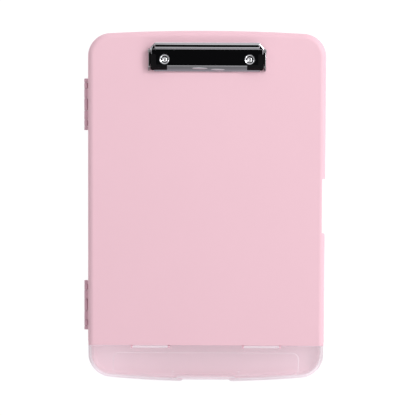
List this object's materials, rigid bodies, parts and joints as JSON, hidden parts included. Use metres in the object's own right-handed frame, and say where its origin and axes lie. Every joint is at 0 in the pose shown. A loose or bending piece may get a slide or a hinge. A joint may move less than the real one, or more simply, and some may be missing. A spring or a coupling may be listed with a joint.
{
  "type": "storage clipboard",
  "caption": "Pink plastic storage clipboard: side-opening paper case with pin hinges, a low-profile sprung metal clip on its cover and a clear flip-up lid over a pen compartment.",
  "frame": {"origin": "centre of the flat back face, on the mid line of the leaves", "axes": "+Y along the board towards the clip, +Z out of the writing face, +X to the reader's right"},
  "size_m": [0.24, 0.3497, 0.0335],
  "materials": {
    "case_plastic": "moulded polypropylene with a fine satin grain",
    "cover_plastic": "moulded polypropylene with a fine satin grain",
    "clear_plastic": "clear, slightly milky polypropylene, polished",
    "clip_chrome": "bright plated pressed steel",
    "pin_steel": "drawn steel pin",
    "spring_steel": "oiled spring wire",
    "rivet_nickel": "nickel-plated tubular rivet",
    "grip_rubber": "matt black rubber"
  },
  "bodies": {
    "case": {"back_shell": "case_plastic", "hinge_pin_upper": "pin_steel", "hinge_pin_lower": "pin_steel"},
    "cover": {"front_cover": "cover_plastic", "clip_base_plate": "clip_chrome", "clip_pivot_rod": "pin_steel", "clip_spring_left": "spring_steel", "clip_spring_right": "spring_steel", "clip_rivet_left": "rivet_nickel", "clip_rivet_right": "rivet_nickel", "rivet_washer_left": "rivet_nickel", "rivet_washer_right": "rivet_nickel"},
    "jaw": {"clip_jaw_plate": "clip_chrome", "jaw_grip_left": "grip_rubber", "jaw_grip_right": "grip_rubber"},
    "lid": {"pen_lid": "clear_plastic"}
  },
  "joints": [
    {"name": "cover_hinge", "type": "hinge", "parent": "case", "child": "cover", "pos_m": [-0.1202, 0, 0.015], "axis": [0, -1, 0], "range_deg": [0, 175]},
    {"name": "clip_jaw", "type": "hinge", "parent": "cover", "child": "jaw", "pos_m": [0, 0.1536, 0.0264], "axis": [-1, 0, 0], "range_deg": [0, 24], "stiffness_Nm_per_rad": 0.2, "springref_deg": -45.84, "deforming": ["clip_spring_left", "clip_spring_right"]},
    {"name": "pen_lid_hinge", "type": "hinge", "parent": "case", "child": "lid", "pos_m": [0, -0.1392, 0.0207], "axis": [-1, 0, 0], "range_deg": [0, 95]}
  ]
}
